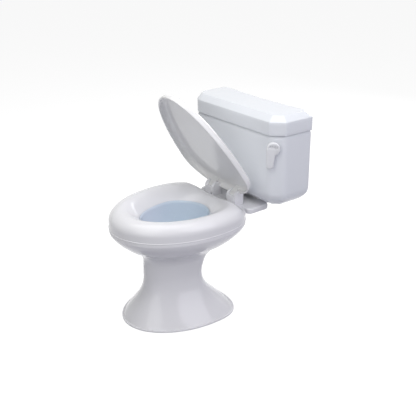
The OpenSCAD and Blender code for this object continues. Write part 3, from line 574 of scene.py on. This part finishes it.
def make_lid():
    edge, rim_w, rim_in = 1.6*MM, 2.8*MM, 4.4*MM
    cove_in, dish = 14*MM, 1.2*MM
    shoulder_in, shoulder_h, crown = 18*MM, 11.6*MM, 0.4*MM
    inside_top = LID_TOP - WALL
    inside_z = inside_top - dish
    cove = lid_section(cove_in, inside_z)
    rings = [shrunk(cove, v, mix(inside_top, inside_z, v*v)) for v in np.linspace(0.04, 1, 16)[:-1]]
    for a in np.linspace(0, math.pi/2, 14):
        rings.append(lid_section(mix(cove_in, rim_in, math.sin(a)),
                                 mix(inside_z, LID_RIM_Z + edge, 1 - math.cos(a))))
    rings += [lid_section(rim_w + edge*math.cos(a), LID_RIM_Z + edge*(1 - math.sin(a)))
              for a in np.linspace(0.1, math.pi/2, 6)]
    # over the rim and up the outside
    rings += [lid_section(edge*s, LID_RIM_Z + edge*c) for s, c in quarter_turn(6)]
    side_top = LID_TOP - crown - shoulder_h
    rings += [lid_section(0, z) for z in np.linspace(LID_RIM_Z + edge, side_top, 4)[1:]]
    rings += [lid_section(shoulder_in*c, LID_TOP - crown - shoulder_h*s)
              for s, c in quarter_turn(18)[1:]]
    shoulder = rings[-1]
    rings += [shrunk(shoulder, v, LID_TOP - crown*v*v) for v in np.linspace(1, 0.04, 16)[1:]]
    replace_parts(skin("seat_lid_skin", rings, LID_WHITE, "lid", turn=SWING), "seat_lid")


def make_hinge_ears(x, side, label):
    """The two ears that hold a hinge's pin; the outer face of each covers the pin's head."""
    y, z, low = HINGE.y, HINGE.z, DECK_Z - 1*MM
    outline = arc((y, z), EAR_R, 0, 180, 24) + [(y - EAR_R, low), (y + EAR_R, low)]
    ears = []
    for end in (-1, 1):
        middle = x + end*(LUG_W/2 - EAR_T/2)
        x0, x1 = sorted((middle - end*EAR_T/2, middle + end*(EAR_T/2 + PIN_HEAD)))
        name = f"hinge_ear_{label}_{'inner' if end == -side else 'outer'}"
        ears.append(slice_across(name, outline, x0, x1, HINGE_WHITE, "base"))
    return ears


def make_hinge_sole(x, label):
    y, half_l = HINGE.y, 14*MM
    top, low = DECK_Z + 0.8*MM, DECK_Z - 2.5*MM
    outline = rounded([(y + half_l, top, 0.6*MM), (y + half_l, low, 0.4*MM),
                       (y - half_l, low, 0.4*MM), (y - half_l, top, 0.6*MM)], 3, 2)
    slice_across(f"hinge_sole_{label}", outline, x - LUG_W/2, x + LUG_W/2, HINGE_WHITE, "base")


def make_hinge_tab(x, label):
    """The flat tab in front of a hinge, round at its lower end."""
    r, edge = LUG_W/2 - 1*MM, 1.6*MM
    top, low = HINGE.z + 3*MM, DECK_Z + 1.4*MM
    front_y, back_y = HINGE.y - EAR_R - 2.5*MM, HINGE.y - EAR_R + 4*MM
    curve = [(x + r*math.cos(a), low + r + r*math.sin(a)) for a in np.linspace(-math.pi, 0, 33)]
    outline = np.array(curve + [(x + r, top), (x - r, top)])

    def ring(inset, at_y):
        o = drawn_in(outline, inset)
        return np.column_stack([o[:, 0], np.full(len(o), at_y), o[:, 1]])

    rings = [ring(edge*s, front_y + edge*c) for s, c in quarter_turn(7)]
    rings.append(ring(0, back_y))
    skin(f"hinge_tab_{label}", rings, HINGE_WHITE, "base")


def make_lid_knuckle(x, label):
    y, top = HINGE.y, LID_TOP - WALL
    outline = arc((y, HINGE.z), KNUCKLE_R, 180, 345, 22) + [(y - 2.5*MM, top), (y - KNUCKLE_R, top)]
    slice_across(f"lid_knuckle_{label}", outline, x - KNUCKLE_W/2, x + KNUCKLE_W/2, LID_WHITE, "lid",
                 turn=SWING)


def make_hinges():
    for side, label in ((-1, "left"), (1, "right")):
        x = side*HINGE_SPACING/2
        ears = make_hinge_ears(x, side, label)
        make_hinge_sole(x, label)
        make_hinge_tab(x, label)
        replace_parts(ears[0], f"hinge_bracket_{label}")
        make_lid_knuckle(x, label)


# ---- Tank ----

def tank_outline(inset, z, rear_out=0.0, bow=0.0, soft=5*MM, rear_r=TANK_REAR_R, left_soft=None):
    """The tank's outline, moved in by inset; the rear face moves out by rear_out and bows in by bow.
    soft and left_soft are the radii of the chamfers' edges and rear_r that of the rear corners."""
    x, front, rear = TANK_HALF_W - inset, TANK_FRONT + inset, TANK_REAR - inset + rear_out
    cut = TANK_CHAMFER - inset*(2 - math.sqrt(2))
    rear_r, side_r = max(rear_r - inset, 3*MM), max(soft - inset, 2*MM)
    left_r = side_r if left_soft is None else min(left_soft, 1.6*cut)
    outline = rounded([(x, rear, rear_r), (x, front + cut, side_r), (x - cut, front, side_r),
                       (-x + cut, front, left_r), (-x, front + cut, left_r), (-x, rear, rear_r)], 8, 14)
    if bow:
        at_rear = outline[:, 1] > rear - 1*MM
        outline[at_rear, 1] -= bow*np.clip(1 - (outline[at_rear, 0]/x)**2, 0, 1)
    return at_z(outline, z)


def make_tank():
    soft, shoulder_h, floor_t, r = 20*MM, 9*MM, 4*MM, TANK_FILLET
    top, rim_z = TANK_SEAM_Z - SEAM_GAP, TANK_SEAM_Z + 2*MM
    lip_in, lip_inside = TANK_SHOULDER + 1*MM, TANK_SHOULDER + WALL
    rings = [tank_outline(r*s, TANK_Z + r*c, soft=soft) for s, c in quarter_turn(24)]
    side = np.linspace(TANK_Z + r, top - shoulder_h, 8)[1:]
    rings += [tank_outline(0, z, soft=soft) for z in side]
    rings += [tank_outline(TANK_SHOULDER*c, top - shoulder_h*s, soft=soft)
              for s, c in quarter_turn(14)[1:]]
    rings += [tank_outline(lip_in, top), tank_outline(lip_in, rim_z), tank_outline(lip_inside, rim_z),
              tank_outline(lip_inside, TANK_SEAM_Z - 8*MM), tank_outline(WALL, TANK_SEAM_Z - 14*MM)]
    inside = r - WALL
    rings += [tank_outline(WALL + inside*s, TANK_Z + floor_t + inside*c)
              for s, c in reversed(quarter_turn(12))]
    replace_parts(skin("tank_skin", rings, TANK_WHITE, "base"), "tank_body")


def make_tank_lid():
    """A bevelled cap; its left end is rounder and reaches further out as it rises."""
    skirt_top, rest = COVER_TOP - BEVEL_H, TANK_SEAM_Z + 2*MM
    rear_out = BEVEL_IN - BEVEL_REAR_IN
    left_out, left_soft, bow, rear_r, edge = 8*MM, 38*MM, 7*MM, 26*MM, 1*MM
    inner, lug_in, lug_h = WALL - OVERHANG, 9*MM, 3*MM

    def cap(inset, z, share=1.0):
        """The cap's outline; share of the rear and left reach that its bevel leaves."""
        outline = tank_outline(inset - OVERHANG, z, rear_out*share, bow*share,
                               rear_r=mix(TANK_REAR_R, rear_r, share), left_soft=left_soft)
        outline[:, 0] -= left_out*share*smooth((-outline[:, 0] - LEFT_FROM)/LEFT_OVER)
        return outline

    flat = cap(BEVEL_IN + 2.2*MM, COVER_TOP)
    rings = [shrunk(flat, f, COVER_TOP) for f in (0.04, 0.35, 0.7)] + [flat]
    # the top's edge, rounded over into the bevel: how far in it lies, and how far down
    for more_in, lower in ((1.2*MM, 0.12*MM), (0.4*MM, 0.42*MM), (-0.4*MM, 0.95*MM)):
        rings.append(cap(BEVEL_IN + more_in, COVER_TOP - lower))
    bevel_top, bevel_foot, skirt_edge = COVER_TOP - 0.95*MM, skirt_top + 0.8*MM, skirt_top - 1.4*MM
    for v in np.linspace(0, 1, 6)[1:]:
        rings.append(cap(mix(BEVEL_IN - 0.4*MM, 1.4*MM, v), mix(bevel_top, bevel_foot, v), 1 - v))
    rings += [cap(0.45*MM, skirt_top - 0.1*MM, 0), cap(0, skirt_edge, 0)]
    rings += [cap(0, z, 0) for z in np.linspace(skirt_edge, TANK_SEAM_Z + edge, 5)[1:]]
    rings += [cap(0.3*edge, TANK_SEAM_Z + 0.3*edge, 0), cap(edge, TANK_SEAM_Z, 0)]
    # the inside, with the step that rests on the tank's rim
    rings += [tank_outline(inner, TANK_SEAM_Z), tank_outline(inner, rest), tank_outline(lug_in, rest),
              tank_outline(lug_in, rest + lug_h), tank_outline(inner, rest + lug_h),
              tank_outline(inner, skirt_top - 4*MM)]
    low = tank_outline(BEVEL_IN + inner, COVER_TOP - WALL, rear_out)
    flat_middle = flat.mean(0)
    rings += [low, flat_middle*[1, 1, 0] + (low - flat_middle)*[0.1, 0.1, 0] + [0, 0, COVER_TOP - WALL]]
    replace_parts(skin("tank_lid_skin", rings, TANK_WHITE, "tank_cover", sharp=24), "tank_lid")


# ---- Flush lever ----

def make_lever():
    """A tapered paddle that hangs from the face of a round head, with finger grooves above it."""
    out = LEVER_OUT.normalized()
    along = Vector((-out.y, out.x, 0))       # along the chamfer, towards the rear
    place = Matrix.Translation(LEVER) @ Matrix((out, along, Vector((0, 0, 1)))).transposed().to_4x4()
    back = 2.5*MM
    head_r, head_t, head_y, head_edge = 14.5*MM, 8*MM, -2*MM, 4*MM
    top_y, top_z, top_w, top_r = -6*MM, 3*MM, 21*MM, 4*MM
    tip_y, tip_z, tip_w, tip_r = -9*MM, -43*MM, 15*MM, 4.5*MM
    paddle_edge = 3*MM
    face = back + head_t + 0.4*MM

    def paddle(inset, x):
        o = rounded([(top_y + top_w/2 - inset, top_z - inset, top_r),
                     (tip_y + tip_w/2 - inset, tip_z + inset, tip_r),
                     (tip_y - tip_w/2 + inset, tip_z + inset, tip_r),
                     (top_y - top_w/2 + inset, top_z - inset, top_r)], 8, 6)
        return np.column_stack([np.full(len(o), x), o])

    rings = [paddle(0.6*MM, back), paddle(0, back + 0.6*MM)]
    rings += [paddle(paddle_edge*c, face - paddle_edge*s) for s, c in quarter_turn(9)]
    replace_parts(skin("lever_paddle", rings, LEVER_WHITE, "lever", turn=place),
                "lever_handle")

    angles = np.arange(192)*2*math.pi/192

    def disc(r, x, groove=0.0):
        """A circle of the head at x; groove is how deep the finger grooves are cut into it."""
        y, z = r*np.cos(angles) + head_y, r*np.sin(angles)
        wave = np.cos(2*math.pi*(y - top_y - GROOVE_PITCH/2)/GROOVE_PITCH)
        ripple = np.clip(wave, 0, 1)**0.8
        reach = (smooth((z - 0.5*MM)/(1*MM))*smooth((9.5*MM - z)/(4*MM))
                 * smooth((head_r - 1.5*MM - np.hypot(y - head_y, z))/(1.5*MM)))
        return np.column_stack([x - groove*ripple*reach, y, z])

    front = back + head_t
    rings = [disc(head_r - 0.8*MM, back), disc(head_r, back + 0.8*MM), disc(head_r, front - head_edge)]
    rings += [disc(head_r - head_edge*c, front - head_edge*s) for s, c in quarter_turn(11)[1:]]
    rings += [disc(r*head_r, front, GROOVE_DEPTH) for r in np.linspace(0.715, 0.02, 40)]
    skin("lever_head", rings, LEVER_WHITE, "lever", turn=place, sharp=60)


# ---- Stage, lights and camera ----

def background_rays(tree):
    """1 for the rays that show the background: from the camera, or by way of gloss or glass."""
    path = tree.nodes.new("ShaderNodeLightPath")
    seen = path.outputs["Is Camera Ray"]
    for ray in ("Is Glossy Ray", "Is Transmission Ray"):
        either = tree.nodes.new("ShaderNodeMath")
        either.operation = "MAXIMUM"
        link(tree, seen, either.inputs[0])
        link(tree, path.outputs[ray], either.inputs[1])
        seen = either.outputs[0]
    return seen


def paper(tree, colour):
    node = tree.nodes.new("ShaderNodeBsdfDiffuse")
    node.inputs["Color"].default_value = (*colour, 1)
    return node.outputs[0]


def make_stage():
    """A pale floor that looks white but keeps the object's soft shadow, and lights it less than white."""
    mesh = bpy.data.meshes.new("studio_floor")
    reach = 6.0
    corners = [(-reach, -reach, 0), (reach, -reach, 0), (reach, reach, 0), (-reach, reach, 0)]
    mesh.from_pydata(corners, [], [(0, 1, 2, 3)])
    floor = bpy.data.objects.new("studio_floor", mesh)
    bpy.context.scene.collection.objects.link(floor)
    material = bpy.data.materials.new("studio_floor_look")
    material.use_nodes = True
    tree = material.node_tree
    tree.nodes.clear()
    glow = tree.nodes.new("ShaderNodeEmission")
    glow.inputs["Strength"].default_value = 0.9
    lit = tree.nodes.new("ShaderNodeAddShader")
    link(tree, paper(tree, (0.30, 0.30, 0.30)), lit.inputs[0])
    link(tree, glow.outputs[0], lit.inputs[1])
    choose = tree.nodes.new("ShaderNodeMixShader")
    link(tree, background_rays(tree), choose.inputs["Fac"])
    link(tree, paper(tree, (0.40, 0.40, 0.45)), choose.inputs[1])
    link(tree, lit.outputs[0], choose.inputs[2])
    out = tree.nodes.new("ShaderNodeOutputMaterial")
    link(tree, choose.outputs[0], out.inputs["Surface"])
    mesh.materials.append(material)


def make_world():
    """White where it is seen, and a faint even light for everything else."""
    world = bpy.data.worlds.new("studio_world")
    world.use_nodes = True
    tree = world.node_tree
    back = tree.nodes["Background"]
    level = tree.nodes.new("ShaderNodeMapRange")
    level.inputs["To Min"].default_value = 0.12
    level.inputs["To Max"].default_value = 1.0
    link(tree, background_rays(tree), level.inputs["Value"])
    link(tree, level.outputs["Result"], back.inputs["Strength"])
    back.inputs["Color"].default_value = (1, 1, 1, 1)
    bpy.context.scene.world = world


def softbox(name, azimuth, elevation, distance, size, power, colour, aim):
    """An area light that faces aim; azimuth 0 is in front of the seat and grows towards +X."""
    a, e = math.radians(azimuth), math.radians(elevation)
    aim = Vector(aim)
    place = aim + distance*Vector((math.sin(a)*math.cos(e), -math.cos(a)*math.cos(e), math.sin(e)))
    lamp = bpy.data.lights.new(name, "AREA")
    lamp.shape = "RECTANGLE"
    lamp.size, lamp.size_y = size
    lamp.energy = power
    lamp.color = colour
    light = bpy.data.objects.new(name, lamp)
    light.location = place
    light.rotation_euler = (aim - place).to_track_quat("-Z", "Y").to_euler()
    bpy.context.scene.collection.objects.link(light)


def make_lights():
    seat, middle, top = (0, -0.03, 0.1), (0, 0, 0.2), (0, 0, 0.3)
    softbox("top_softbox", -10, 82, 1.5, (1.4, 1.4), 14.5, (1, 1, 1), (0, 0.05, 0.2))
    softbox("left_softbox", 23, 38, 1.5, (0.82, 1.15), 5.6, (1, 1, 0.985), seat)
    softbox("right_softbox", 104, 37, 1.5, (0.9, 1.15), 8.1, (0.93, 0.915, 1), seat)
    softbox("low_softbox", 36, 9, 1.7, (1.0, 0.5), 1.6, (0.98, 0.97, 1), top)
    softbox("back_softbox", 192, 24, 1.8, (0.9, 0.9), 8, (0.97, 0.97, 1), middle)


def make_camera():
    azimuth, elevation, distance = math.radians(51.1), math.radians(22.6), 1.7136
    target = Vector((0, 92.9*MM + SEAT_Y, 210.5*MM))
    back = Vector((math.sin(azimuth)*math.cos(elevation), -math.cos(azimuth)*math.cos(elevation),
                   math.sin(elevation)))
    data = bpy.data.cameras.new("camera")
    data.lens, data.sensor_width = 66.28, 36
    data.shift_x = -0.0214
    camera = bpy.data.objects.new("camera", data)
    camera.location = target + back*distance
    camera.rotation_euler = (-back).to_track_quat("-Z", "Y").to_euler()
    bpy.context.scene.collection.objects.link(camera)
    bpy.context.scene.camera = camera


make_pedestal()
make_bowl()
make_seat_ring()
make_deck()
make_pot()
make_ring_screws()
make_lid()
make_hinges()
make_tank()
make_tank_lid()
make_lever()
make_stage()
make_world()
make_lights()
make_camera()
bpy.context.scene.view_settings.view_transform = "Standard"
